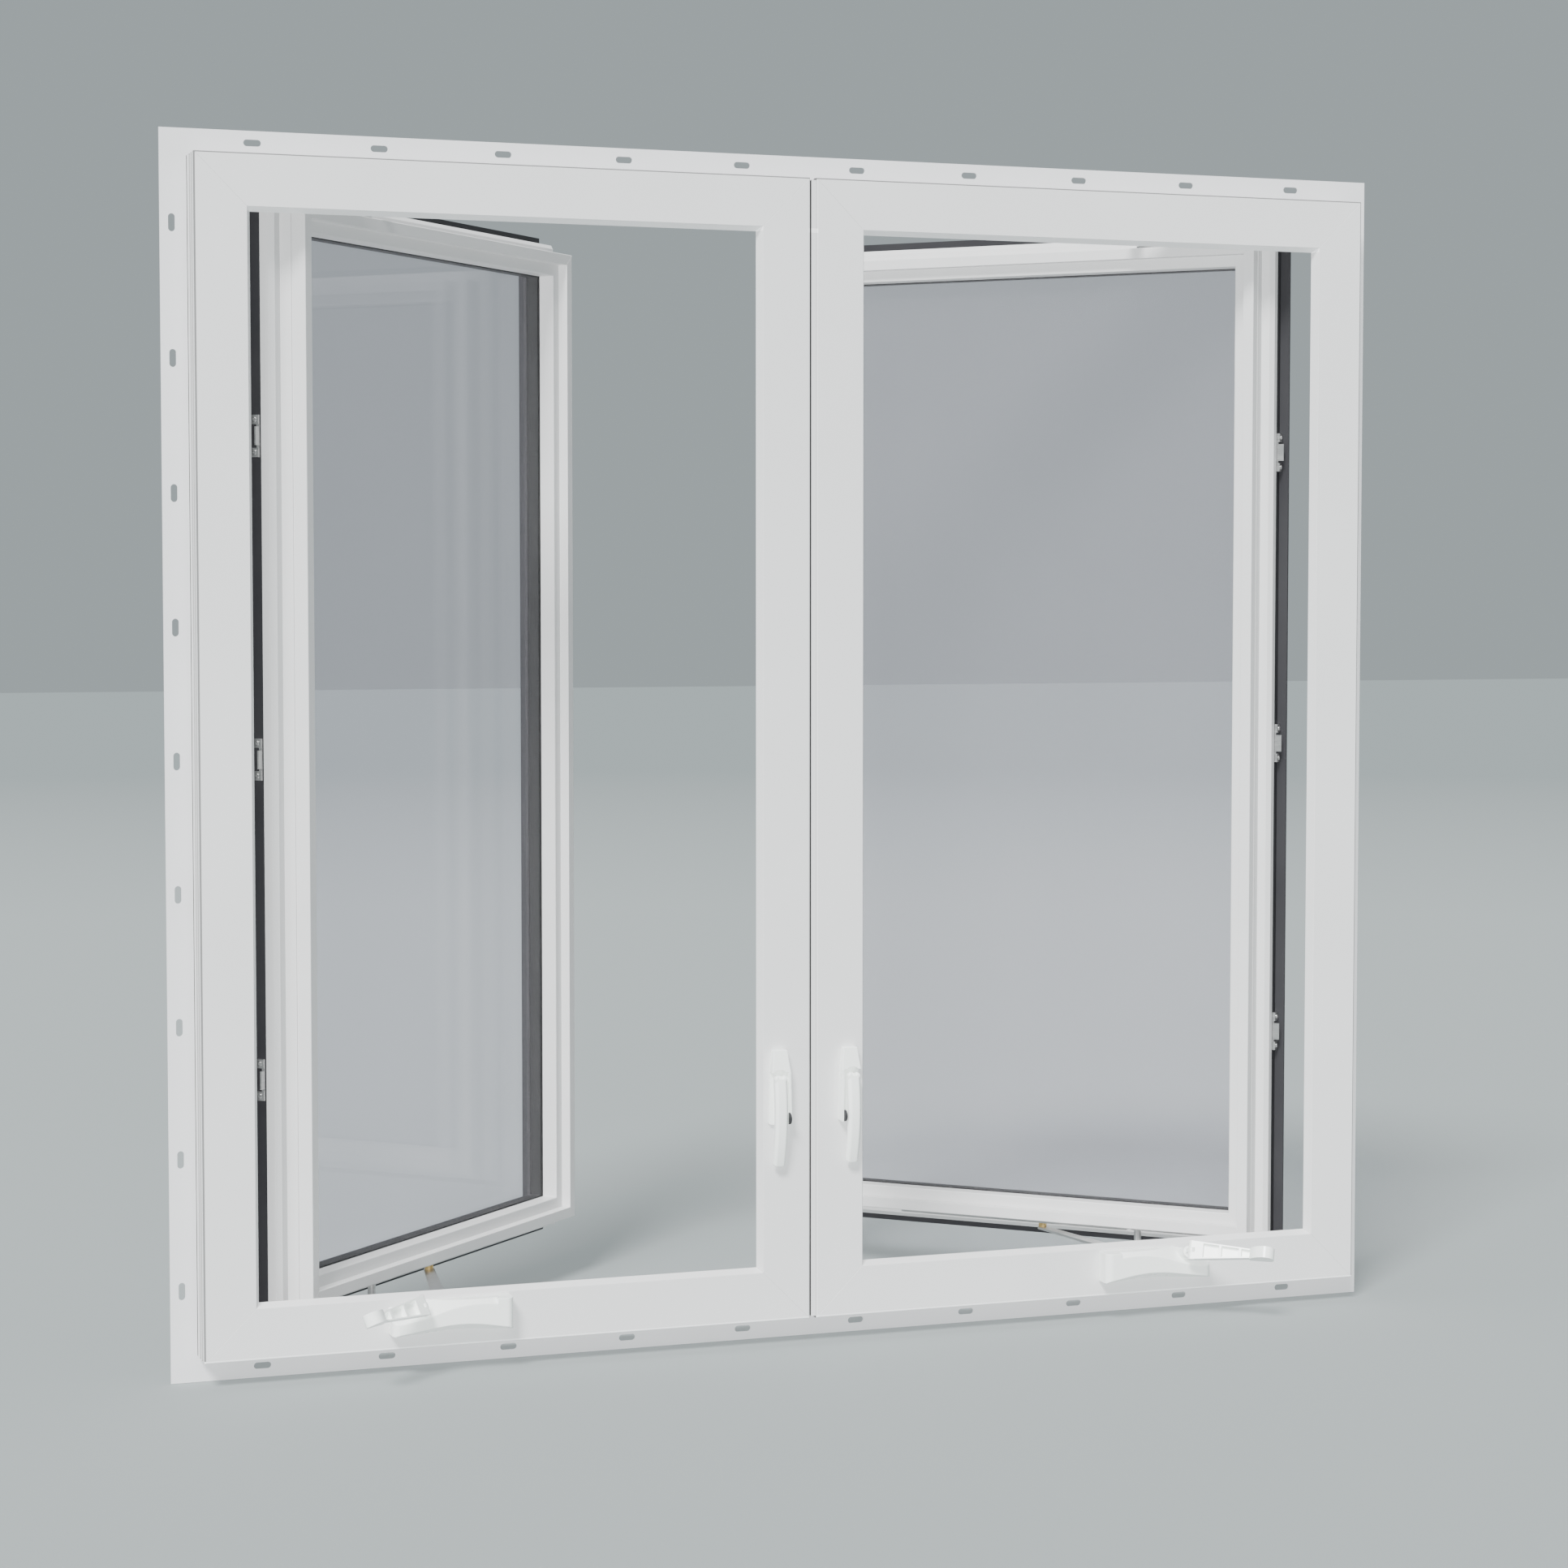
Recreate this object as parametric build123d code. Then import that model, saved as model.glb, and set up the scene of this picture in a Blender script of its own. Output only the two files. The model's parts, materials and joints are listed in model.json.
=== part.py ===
"""Twin casement window with nail fins, both sashes cranked open to 45 degrees.

Axes: X to the right as seen from the room, Y toward the exterior, Z up. Millimetres.
Origin: mid-width of the window, on the slot line of the sill nail fin, on the fin's
room-facing face, which bears on the wall.
Every piece of the left unit is modelled where it sits, and the right unit mirrors it.
"""
import os
from math import cos, radians, sin

from build123d import *

# Two frame units side by side
unit_w = 760.0            # outside width of one frame unit
unit_h = 1419.5           # outside height of a frame unit
mull_gap = 8.0            # joint between the two units
room_depth = 50.0         # fin face to the room face of the frame
outer_depth = 38.0        # fin face to the exterior face of the frame

# Frame section
face_w = 62.0             # width of the room face
lip_run = 5.2             # how far the sloped lip runs inward of the face
lip_depth = 12.6          # depth of the sloped lip
stop_depth = 14.5         # room face to the back of the stop
wall_t = 20.0             # frame wall round the sash pocket
lip_draft = 1.0           # how far the lip leans back behind its edge
edge_round = 2.5          # rounding of the room-side outer edge
back_ease = 2.0           # chamfers of the exterior face
rib_depth = 1.5           # two shallow recesses along the outer side
rib_start = 11.5          # room face to the first recess
rib_first = 8.0           # width of the first recess
rib_land = 4.5            # land between the recesses
rib_second = 7.5          # width of the second recess
rib_draft = 0.5           # slope at the ends of a recess
groove_depth = 6.0        # accessory groove beside the fin
groove_w = 5.0            # width of that groove
groove_land = 1.0         # groove to the fin's face
kerf_w = 3.0              # weatherstrip kerf in the back of the stop
kerf_depth = 4.5          # depth of the kerf
kerf_inset = 34.0         # pocket wall to the kerf

# Nail fin
fin_w = 31.5              # how far the fin stands out of the frame
fin_t = 2.0               # fin thickness
slot_edge = 14.0          # slot line to the fin's outer edge
slot_l = 21.0             # slot length
slot_d = 8.0              # slot width
head_pitch = 152.4        # slot spacing along the head and sill
jamb_pitch = 157.8        # slot spacing along a jamb
slot_margin = 60.0        # least distance from a row's end slot to the fin's end

# Mull strip
mull_inset = 0.6          # strip set back from the room face
mull_short = 3.0          # strip stops short of each end
mull_slit = 1.5           # shadow gap at the strip's left edge
mull_slit_depth = 12.0    # depth of that gap
mull_back = 2.0           # strip set back from the exterior face

# Sash section, depth measured from its room face toward the exterior
swing = 45.0              # opening angle of both sashes
overlap = 8.3             # sash edge behind the frame face's inner edge
hinge_slide = 83.9        # how far the hinge edge has slid toward the middle
hinge_back = 37.8         # frame's room face to the sash's hinge corner
face_band = 14.1          # width of the sash's room face
face_ease = 0.8           # eased outer edge of that face
body_depth = 35.65        # depth of the narrower room-side body
brim_w = 10.84            # flat of the wider exterior-side brim
brim_bevel = 5.6          # bevel on the brim's room-side edge
sash_depth = 53.3         # white section's depth
edge_groove = 1.5         # shallow groove round the sash edge
edge_groove_at = 17.8     # depth of that groove from the room face
edge_groove_w = 2.0       # width of that groove
bead_set = 12.8           # glazing bead set back from the sash face
bead_ease = 1.0           # eased edge of the bead
sight = 29.5              # sash edge to the glass sight line
glass_set = 34.1          # sash face to the inner pane
pane_t = 4.0              # one pane
unit_glass_t = 22.9       # sealed unit over both panes
glass_clear = 1.4         # sealed unit's edge clearance
spacer_proud = 1.0        # spacer shows inside the sight line
spacer_w = 9.0            # spacer width in the plane of the glass

# Dark exterior flange of the sash
cap_depth = 18.7          # flange ring's depth
cap_lip = 12.1            # lip standing out of the white brim
cap_lip_t = 5.5           # lip thickness
cap_slope = 5.5           # inner slope toward the glass
cap_sight = 4.0           # flat of the flange at the sight line

# Sliding hinges at head and sill
track_l = 345.0           # track length
track_w = 18.0            # track width
track_t = 4.0             # track height
track_end = 8.0           # pocket wall to the track's end
track_floor = 1.5         # floor under the slideway
slide_w = 6.0             # slideway width
slide_end = 4.0           # track's end to the slideway
arm_t = 3.0               # hinge arm thickness
arm_gap = 3.0             # track to the lower arm
arm_w = 18.0              # hinge arm width
arm_link = 143.0          # pivot spacing of both hinge arms
arm_set = 17.0            # sash face to the centre of the sash arm
shoe_at = 15.0            # sash hinge edge to the shoe pivot
shoe_l = 22.0             # shoe length
shoe_w = 14.0             # shoe width
pivot_r = 5.0             # hinge pivot studs
few_sides = 12            # flats round a stud or a bar's end

# Crank operator
cover_l = 149.5           # cover length
cover_h = 39.0            # cover height at its tall end
cover_t = 27.0            # cover depth from the frame face
cover_from_jamb = 295.75  # unit's outer edge to the cover's middle
cover_up = 20.5           # frame's bottom edge to the cover's bottom edge
cover_round = 9.0         # rounding of the cover's front corners
saddle_slope = 33.0       # rise of the saddle toward the frame
under_slope = 24.0        # fall of the arched underside toward the frame
arch_r = 220.0            # radius of that arch
crank_in = 39.75          # cover's middle to the crank's pivot
crank_out = 37.0          # frame face to the crank's pivot
crank_up = 39.0           # cover's bottom edge to the crank's pivot
spindle_tilt = 22.0       # spindle's rise toward the room
crank_turn = 16.0         # turn of the crank about its spindle
crank_lift = 33.0         # handle's lean away from square to the spindle
crank_l = 78.0            # pivot to the knob's foot
crank_t = 8.0             # handle thickness
crank_wide = 25.0         # handle width at the pivot
crank_slim = 12.0         # handle width at the knob
crank_wall = 2.0          # walls of the handle's pockets
pocket_start = 15.6       # pivot to the first pocket
pocket_l = (20.3, 22.2, 12.1)  # pocket lengths
pocket_rib = 3.5          # ribs between the pockets
knob_l = 29.0             # knob length
knob_h = 12.0             # knob height above the handle
knob_w = 15.0             # knob width
knob_root = 2.0           # knob's start before the handle's end
knob_toe = 3.0            # undercut of the knob's tip
hub_r = 7.5               # spindle hub radius
hub_gap = 8.0             # fold pin to the hub's shoulder
hub_root = 34.0           # fold pin to the hub's root inside the saddle
tongue_t = 5.0            # tongue between a handle's lugs
pin_r = 2.5               # fold pin radius
nose_wall = 2.0           # wall of a tongue round its pin
pin_clear = 0.3           # clearance at the fold pins and tongues
sink = 2.0                # overlap of fused pieces, and how far a cut runs out

# Operator arm
gear_l = 70.0             # gear case length
gear_w = 30.0             # gear case depth
gear_h = 20.5             # gear case height above the pocket floor
gear_ease = 4.0           # chamfers of the gear case
arm_root = 4.0            # gear case's middle to the arm's root
swing_arm_t = 3.0         # operator arm thickness
swing_arm_w = 20.0        # operator arm width at its root
swing_arm_tip = 13.0      # operator arm width at the bushing
guide_at = 172.0          # sash hinge edge to the guide's near end
guide_l = 330.0           # guide length
guide_w = 16.0            # guide width
guide_h = 4.0             # guide height
guide_wall = 2.0          # guide's side walls
guide_end = 4.0           # guide's end walls
guide_roof = 1.0          # guide's roof under the sash
bush_at = 295.0           # sash hinge edge to the bushing
bush_r = 5.5              # bushing radius

# Sash lock on the mull-side jamb
lock_in = 46.5            # window's middle to the lock's middle
lock_up = 248.0           # frame's bottom edge to the plate's bottom edge
lock_w = 28.0             # plate width at its foot
lock_neck = 25.0          # plate width under the hood
lock_h = 93.0             # plate height with its hood
lock_t = 4.5              # plate depth under the lever
lock_round = 3.0          # rounding of the plate's foot
rim_w = 3.5               # rim along the plate's mull side
hood_h = 27.0             # hood height
hood_t = 13.6             # rim depth, and hood depth at its lower edge
hood_top_w = 18.0         # hood width at its top
hood_top_t = 9.0          # hood depth at its top
hood_clear = 2.5          # lever's edge to the arch cut in the hood
lug_r = 7.0               # half-round lug beside the lever
lug_t = 1.7               # lug thickness
lug_up = 8.5              # plate's bottom edge to the lug's middle
lug_out = 14.5            # frame face to the centre of the lug's round
lever_off = 2.0           # lever's middle, toward the opening
lever_l = 110.0           # lever length below its pivot
lever_w = 16.6            # lever width
lever_t = 9.0             # lever thickness
lever_tip_t = 6.0         # lever thickness at its tip
lever_bow = 4.0           # how far the lever bows out at its middle
lever_dip = 5.0           # how far its tip falls back toward the frame
lever_ease = 3.0          # chamfers along the lever's front
lever_round = 5.0         # rounding of the lever's outline
lever_out = 14.0          # frame face to the lever's pivot
lever_drop = 8.0          # hood's lower edge to the lever's pivot
lever_notch = 1.0         # pin to the notch that passes the tongue
lever_pin_r = 1.5         # lever pin radius
lever_nose = 1.5          # wall of the tongue round the lever's pin

# Snubber brackets on the hinge edge of the sash
snub_pitch = 384.7        # spacing of the three brackets
snub_set = 1.0            # white section to the brackets
snub_h = 50.0             # bracket height
snub_lug_h = 11.0         # height of each end lug
snub_lug_t = 4.0          # lug thickness
snub_w = 10.5             # lug width
snub_spine_w = 4.0        # spine between the lugs
snub_t = 2.0              # spine and hook thickness
snub_hook_h = 22.0        # hook plate height
snub_hook_w = 9.0         # hook plate reach

# Worked-out places
outer_x = unit_w + mull_gap / 2
face_y = -room_depth
frame_z = fin_w - slot_edge
mid_z = frame_z + unit_h / 2
unit_x = -(unit_w + mull_gap) / 2
stop_y = face_y + stop_depth
sash_w = unit_w - 2 * (face_w - overlap)
sash_h = unit_h - 2 * (face_w - overlap)
hinge_x = -outer_x + face_w - overlap + hinge_slide
hinge_y = face_y + hinge_back
brim_e = -(brim_w + brim_bevel)
cover_at = outer_x - cover_from_jamb
pocket_z = frame_z + wall_t
under_z = mid_z - sash_h / 2
head_slots = 2 * int((outer_x + fin_w - slot_margin) / head_pitch + 0.5)
jamb_slots = 2 * int((unit_h / 2 - slot_margin) / jamb_pitch) + 1
straight_up = Vector(0, 0, 1)
out_y = Vector(0, 1, 0)


def face_of(points):
    return make_face(Polyline(*points, close=True))


def member(points, length, start, inward):
    """One mitred length: points are (inward, depth) from the outer edge at start."""
    along = inward.cross(out_y)
    low = min(p[0] for p in points)
    high = max(p[0] for p in points)
    half = length / 2
    bar = extrude(Plane(start, x_dir=inward, z_dir=along) * face_of(points), half - low, both=True)
    outline = [(low - half, low), (half - low, low), (half - high, high), (high - half, high)]
    mitre = Plane(start, x_dir=along, z_dir=out_y) * face_of(outline)
    return bar & extrude(mitre, 2 * (room_depth + outer_depth), both=True)


def rectangle_members(points, width, height, centre):
    """Sill, head, hinge-side and lock-side members of one rectangle."""
    places = {
        "bottom": (width, Vector(0, 0, -height / 2), Vector(0, 0, 1)),
        "top": (width, Vector(0, 0, height / 2), Vector(0, 0, -1)),
        "hinge": (height, Vector(-width / 2, 0, 0), Vector(1, 0, 0)),
        "lock": (height, Vector(width / 2, 0, 0), Vector(-1, 0, 0)),
    }
    return {
        side: member(points, length, centre + start, inward)
        for side, (length, start, inward) in places.items()
    }


def ring(points, width, height):
    sides = rectangle_members(points, width, height, Vector(0, 0, 0))
    return sides["bottom"] + sides["hinge"] + sides["top"] + sides["lock"]


def in_sash(shape):
    """Swing a piece drawn on the closed sash, centred on its width, to the open sash."""
    return Pos(hinge_x, hinge_y, mid_z) * Rot(0, 0, swing) * Pos(sash_w / 2, 0, 0) * shape


def sash_point(along, depth):
    """World X and Y of a place on the open left sash."""
    turn = radians(swing)
    return (
        hinge_x + along * cos(turn) - depth * sin(turn),
        hinge_y + along * sin(turn) + depth * cos(turn),
    )


def box(x0, x1, y0, y1, z0, z1):
    middle = Pos((x0 + x1) / 2, (y0 + y1) / 2, (z0 + z1) / 2)
    return middle * Box(abs(x1 - x0), abs(y1 - y0), abs(z1 - z0))


def link(start, end, width_a, width_b, z, thickness):
    """Flat bar with rounded ends between two plan points."""
    a = Vector(*start, 0)
    b = Vector(*end, 0)
    side = (b - a).normalized().cross(straight_up)
    web = [a + side * width_a / 2, b + side * width_b / 2, b - side * width_b / 2, a - side * width_a / 2]
    flat = make_face(Polyline(*web, close=True))
    for spot, width in ((a, width_a), (b, width_b)):
        flat += Pos(spot.X, spot.Y) * RegularPolygon(width / 2, few_sides, major_radius=False)
    return Pos(0, 0, z) * extrude(flat, thickness)


def stud(point, radius, z0, z1):
    return Pos(*point, z0) * extrude(RegularPolygon(radius, few_sides), z1 - z0)


def both_ends(shape):
    """The sill piece and its mirror image at the head."""
    return shape, mirror(shape, about=Plane((0, 0, mid_z), z_dir=(0, 0, 1)))


# Frame units
def frame_section():
    r = edge_round
    bulge = r * (1 - cos(radians(45)))
    rib_a = face_y + rib_start
    rib_b = rib_a + rib_first
    rib_c = rib_b + rib_land
    rib_d = rib_c + rib_second
    groove = groove_land + groove_w
    kerf = wall_t + kerf_inset
    return [
        (r, face_y), (bulge, face_y + bulge), (0, face_y + r),
        (0, rib_a), (rib_depth, rib_a + rib_draft), (rib_depth, rib_b), (0, rib_b + rib_draft),
        (0, rib_c), (rib_depth, rib_c + rib_draft), (rib_depth, rib_d), (0, rib_d + rib_draft),
        (0, -groove), (groove_depth, -groove), (groove_depth, -groove_land), (0, -groove_land),
        (0, outer_depth - back_ease), (back_ease, outer_depth),
        (wall_t - back_ease, outer_depth), (wall_t, outer_depth - back_ease),
        (wall_t, stop_y), (kerf, stop_y), (kerf, stop_y - kerf_depth),
        (kerf + kerf_w, stop_y - kerf_depth), (kerf + kerf_w, stop_y),
        (face_w + lip_run - lip_draft, stop_y), (face_w + lip_run, face_y + lip_depth),
        (face_w, face_y),
    ]


def make_frame():
    sides = rectangle_members(frame_section(), unit_w, unit_h, Vector(unit_x, 0, mid_z))
    return {
        "left_frame_sill": sides["bottom"],
        "left_frame_head": sides["top"],
        "left_hinge_jamb": sides["hinge"],
        "left_mull_jamb": sides["lock"],
    }


def slotted_fin(x0, x1, z0, z1, places, upright):
    """Fin strip with a slot at each (x, z)."""
    strip = box(x0, x1, 0, fin_t, z0, z1)
    slot = Rot(90, 0, 0) * extrude(SlotOverall(slot_l, slot_d), 2 * fin_t, both=True)
    if upright:
        slot = Rot(0, 90, 0) * slot
    for x, z in places:
        strip -= Pos(x, 0, z) * slot
    return strip


def make_fins():
    wide = outer_x + fin_w
    top = frame_z + unit_h
    row = [(i - (head_slots - 1) / 2) * head_pitch for i in range(head_slots)]
    rise = [mid_z + (j - (jamb_slots - 1) / 2) * jamb_pitch for j in range(jamb_slots)]
    head_line = top + fin_w - slot_edge
    jamb_line = wide - slot_edge
    left = slotted_fin(-wide, -outer_x, frame_z, top, [(-jamb_line, z) for z in rise], True)
    return {
        "sill_fin": slotted_fin(-wide, wide, -slot_edge, frame_z, [(x, 0) for x in row], False),
        "head_fin": slotted_fin(-wide, wide, top, top + fin_w, [(x, head_line) for x in row], False),
        "left_jamb_fin": left,
        "right_jamb_fin": mirror(left, about=Plane.YZ),
    }


def make_mull():
    half = mull_gap / 2
    z0 = frame_z + mull_short
    z1 = frame_z + unit_h - mull_short
    strip = box(-half, half, face_y + mull_inset, outer_depth - mull_back, z0, z1)
    slit = box(-half, mull_slit - half, face_y, face_y + mull_slit_depth, z0 - sink, z1 + sink)
    return {"mull_strip": strip - slit}


# Sashes
def sash_section():
    g = edge_groove
    near = edge_groove_at
    far = near + edge_groove_w
    return [
        (face_ease, 0), (face_band, 0), (face_band, sash_depth), (brim_e, sash_depth),
        (brim_e, body_depth + brim_bevel), (-brim_w, body_depth), (0, body_depth),
        (0, far), (g, far), (g, near), (0, near), (0, face_ease),
    ]


def make_sash():
    sides = rectangle_members(sash_section(), sash_w, sash_h, Vector(0, 0, 0))
    names = {
        "bottom": "left_sash_bottom_rail",
        "top": "left_sash_top_rail",
        "hinge": "left_sash_hinge_stile",
        "lock": "left_sash_lock_stile",
    }
    pieces = {names[side]: in_sash(shape) for side, shape in sides.items()}
    back = glass_set + unit_glass_t
    end = sash_depth + cap_depth
    cap = [
        (brim_e, sash_depth), (face_band, sash_depth), (face_band, back), (sight, back),
        (sight, back + cap_sight), (sight - cap_slope, end), (brim_e - cap_lip, end),
        (brim_e - cap_lip, end - cap_lip_t), (brim_e, end - cap_lip_t),
    ]
    bead = [
        (face_band, bead_set), (sight - bead_ease, bead_set), (sight, bead_set + bead_ease),
        (sight, glass_set), (face_band, glass_set),
    ]
    inner = sight + spacer_proud
    deep = glass_set + unit_glass_t - pane_t
    spacer = [
        (inner - spacer_w, glass_set + pane_t), (inner, glass_set + pane_t),
        (inner, deep), (inner - spacer_w, deep),
    ]
    half_w = sash_w / 2 - face_band - glass_clear
    half_h = sash_h / 2 - face_band - glass_clear
    panes = [
        in_sash(box(-half_w, half_w, y, y + pane_t, -half_h, half_h))
        for y in (glass_set, glass_set + unit_glass_t - pane_t)
    ]
    pieces["left_sash_exterior_flange"] = in_sash(ring(cap, sash_w, sash_h))
    pieces["left_glazing_bead"] = in_sash(ring(bead, sash_w, sash_h))
    pieces["left_glass_spacers"] = in_sash(ring(spacer, sash_w, sash_h))
    pieces["left_glass_panes"] = Compound(panes)
    return pieces


# Sliding hinges
def make_hinges():
    shoe = sash_point(shoe_at, arm_set)
    mid = sash_point(shoe_at + arm_link, arm_set)
    fixed = (shoe[0] + 2 * arm_link * cos(radians(swing)), shoe[1])
    x0 = -outer_x + wall_t + track_end
    x1 = x0 + track_l
    track_top = pocket_z + track_t
    low_arm = track_top + arm_gap
    high_arm = under_z - arm_t
    track = box(x0, x1, shoe[1] - track_w / 2, shoe[1] + track_w / 2, pocket_z, track_top)
    track -= box(
        x0 + slide_end, x1 - slide_end, shoe[1] - slide_w / 2, shoe[1] + slide_w / 2,
        pocket_z + track_floor, track_top + sink,
    )
    arms = link(shoe, mid, arm_w, arm_w, high_arm, arm_t)
    arms += Pos(*shoe, (track_top + high_arm) / 2) * Box(shoe_l, shoe_w, high_arm - track_top)
    arms += stud(mid, pivot_r, low_arm, high_arm)
    arms += link(mid, fixed, arm_w, arm_w, low_arm, arm_t)
    arms += stud(fixed, pivot_r, track_top, low_arm)
    return {
        "left_hinge_tracks": Compound(list(both_ends(track))),
        "left_hinge_arms": Compound(list(both_ends(arms))),
    }


# Crank operator
cover_z = frame_z + cover_up
crank_pivot = Vector(-(cover_at + crank_in), face_y - crank_out, cover_z + crank_up)
tilt = radians(spindle_tilt)
turn = radians(crank_turn)
lift = radians(crank_lift)
spindle = Vector(0, -cos(tilt), sin(tilt))
spindle_side = Vector(0, sin(tilt), cos(tilt))
outward = Vector(-1, 0, 0) * cos(turn) - spindle_side * sin(turn)
crank_x = outward * cos(lift) + spindle * sin(lift)
crank_z = spindle * cos(lift) - outward * sin(lift)
crank_plane = Plane(crank_pivot, x_dir=crank_x, z_dir=crank_z)
hub_plane = Plane(crank_pivot, x_dir=outward, z_dir=spindle)


def make_cover():
    """Swept cover: tall end, knob notch and saddle above, a shallow arch below."""
    front = face_y - cover_t
    outer = -cover_at - cover_l / 2
    plan = Pos(-cover_at, face_y, cover_z) * RectangleRounded(cover_l, 2 * cover_t, cover_round)
    body = extrude(plan, cover_h)
    body &= box(outer, outer + cover_l, face_y, front, cover_z, cover_z + cover_h)
    rise = radians(saddle_slope)
    fall = radians(under_slope)
    above = Plane((outer, front, cover_z), x_dir=(1, 0, 0), z_dir=(0, cos(rise), sin(rise)))
    below = Plane((outer, front, cover_z), x_dir=(1, 0, 0), z_dir=(0, cos(fall), -sin(fall)))
    crest = [(-0.04, 0.38), (0.2, 0.47), (0.37, 0.65), (0.86, 0.835)]
    arch = [(-0.04, 0.0), (0.58, 0.343), (1.04, 0.03)]
    crest = [(x * cover_l, -h * cover_h * cos(rise)) for x, h in crest]
    arch = [(x * cover_l, -h * cover_h * cos(fall)) for x, h in arch]
    far = 2 * cover_h
    scoop = ThreePointArc(*crest[:3])
    brow = TangentArc(crest[2], crest[3], tangent=scoop % 1)
    sky = Polyline(crest[3], (crest[3][0], -far), (crest[0][0], -far), crest[0])
    body -= extrude(above * make_face(scoop + brow + sky), 4 * cover_t, both=True)
    vault = FilletPolyline(*arch, radius=arch_r)
    ground = Polyline(arch[2], (arch[2][0], far), (arch[0][0], far), arch[0])
    return body - extrude(below * make_face(vault + ground), 4 * cover_t, both=True)


def make_hub():
    """Spindle hub that stands on the saddle, with a tongue for the fold pin."""
    hub = hub_plane * Pos(0, 0, -(hub_gap + hub_root) / 2) * Cylinder(hub_r, hub_root - hub_gap)
    nose_r = pin_r + nose_wall
    stem = hub_gap + sink
    tongue = hub_plane * Pos(0, 0, -stem / 2) * Box(2 * nose_r, tongue_t, stem)
    nose = hub_plane * Rot(90, 0, 0) * Cylinder(nose_r, tongue_t)
    hole = hub_plane * Rot(90, 0, 0) * Cylinder(pin_r + pin_clear, 2 * tongue_t)
    return hub + tongue + nose - hole - make_cover()


def crank_half(at):
    """Half the handle's width at a distance from the pivot."""
    return (crank_wide + (crank_slim - crank_wide) * at / crank_l) / 2


def make_crank():
    """Tapered tray with three pockets, a knob on its end and a pin across its lugs."""
    half = crank_t / 2
    outline = [
        (0, -crank_wide / 2), (crank_l, -crank_slim / 2),
        (crank_l, crank_slim / 2), (0, crank_wide / 2),
    ]
    handle = Pos(0, 0, -half) * extrude(face_of(outline), crank_t)
    handle += Rot(90, 0, 0) * Cylinder(half, crank_wide)
    a = pocket_start
    for length in pocket_l:
        b = a + length
        wa = crank_half(a) - crank_wall
        wb = crank_half(b) - crank_wall
        pocket = face_of([(a, -wa), (b, -wb), (b, wb), (a, wa)])
        handle -= Pos(0, 0, crank_wall - half) * extrude(pocket, crank_t)
        a = b + pocket_rib
    reach = pin_r + nose_wall + pin_clear
    handle -= Box(2 * reach, tongue_t + 2 * pin_clear, 2 * crank_t)
    handle += Rot(90, 0, 0) * Cylinder(pin_r, crank_wide)
    root = crank_l - knob_root
    tip = crank_l + knob_l
    top = (crank_l + 0.55 * knob_l, half + knob_h)
    rise = ThreePointArc((root, half), (crank_l + 0.25 * knob_l, half + 0.75 * knob_h), top)
    fall = TangentArc(top, (tip, 0), tangent=rise % 1)
    foot = Polyline((tip, 0), (tip - knob_toe, -half), (root, -half), (root, half))
    side = Plane((0, 0, 0), x_dir=(1, 0, 0), z_dir=(0, -1, 0))
    knob = extrude(side * make_face(rise + fall + foot), knob_w / 2, both=True)
    return crank_plane * (handle + knob)


def make_operator():
    gear_x = -cover_at
    gear_top = pocket_z + gear_h
    gear = box(gear_x - gear_l / 2, gear_x + gear_l / 2, stop_y, stop_y + gear_w, pocket_z, gear_top)
    gear = chamfer(gear.edges().filter_by(Axis.Z), gear_ease)
    root = (gear_x, stop_y + gear_w / 2 + arm_root)
    tip = sash_point(bush_at, arm_set)
    arm = link(root, tip, swing_arm_w, swing_arm_tip, gear_top, swing_arm_t)
    x0 = guide_at - sash_w / 2
    x1 = x0 + guide_l
    y0 = arm_set - guide_w / 2
    y1 = y0 + guide_w
    drop = -sash_h / 2
    guide = box(x0, x1, y0, y1, drop - guide_h, drop)
    guide -= box(
        x0 + guide_end, x1 - guide_end, y0 + guide_wall, y1 - guide_wall,
        drop - guide_h - sink, drop - guide_roof,
    )
    bush = stud(tip, bush_r, gear_top + swing_arm_t, under_z - guide_roof)
    return {
        "left_operator_cover": make_cover(),
        "left_crank_hubs": make_hub(),
        "left_crank_handle": make_crank(),
        "left_operator_gears": gear,
        "left_operator_arm": arm,
        "left_arm_guides": in_sash(guide),
        "left_arm_bushings": bush,
    }


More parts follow.
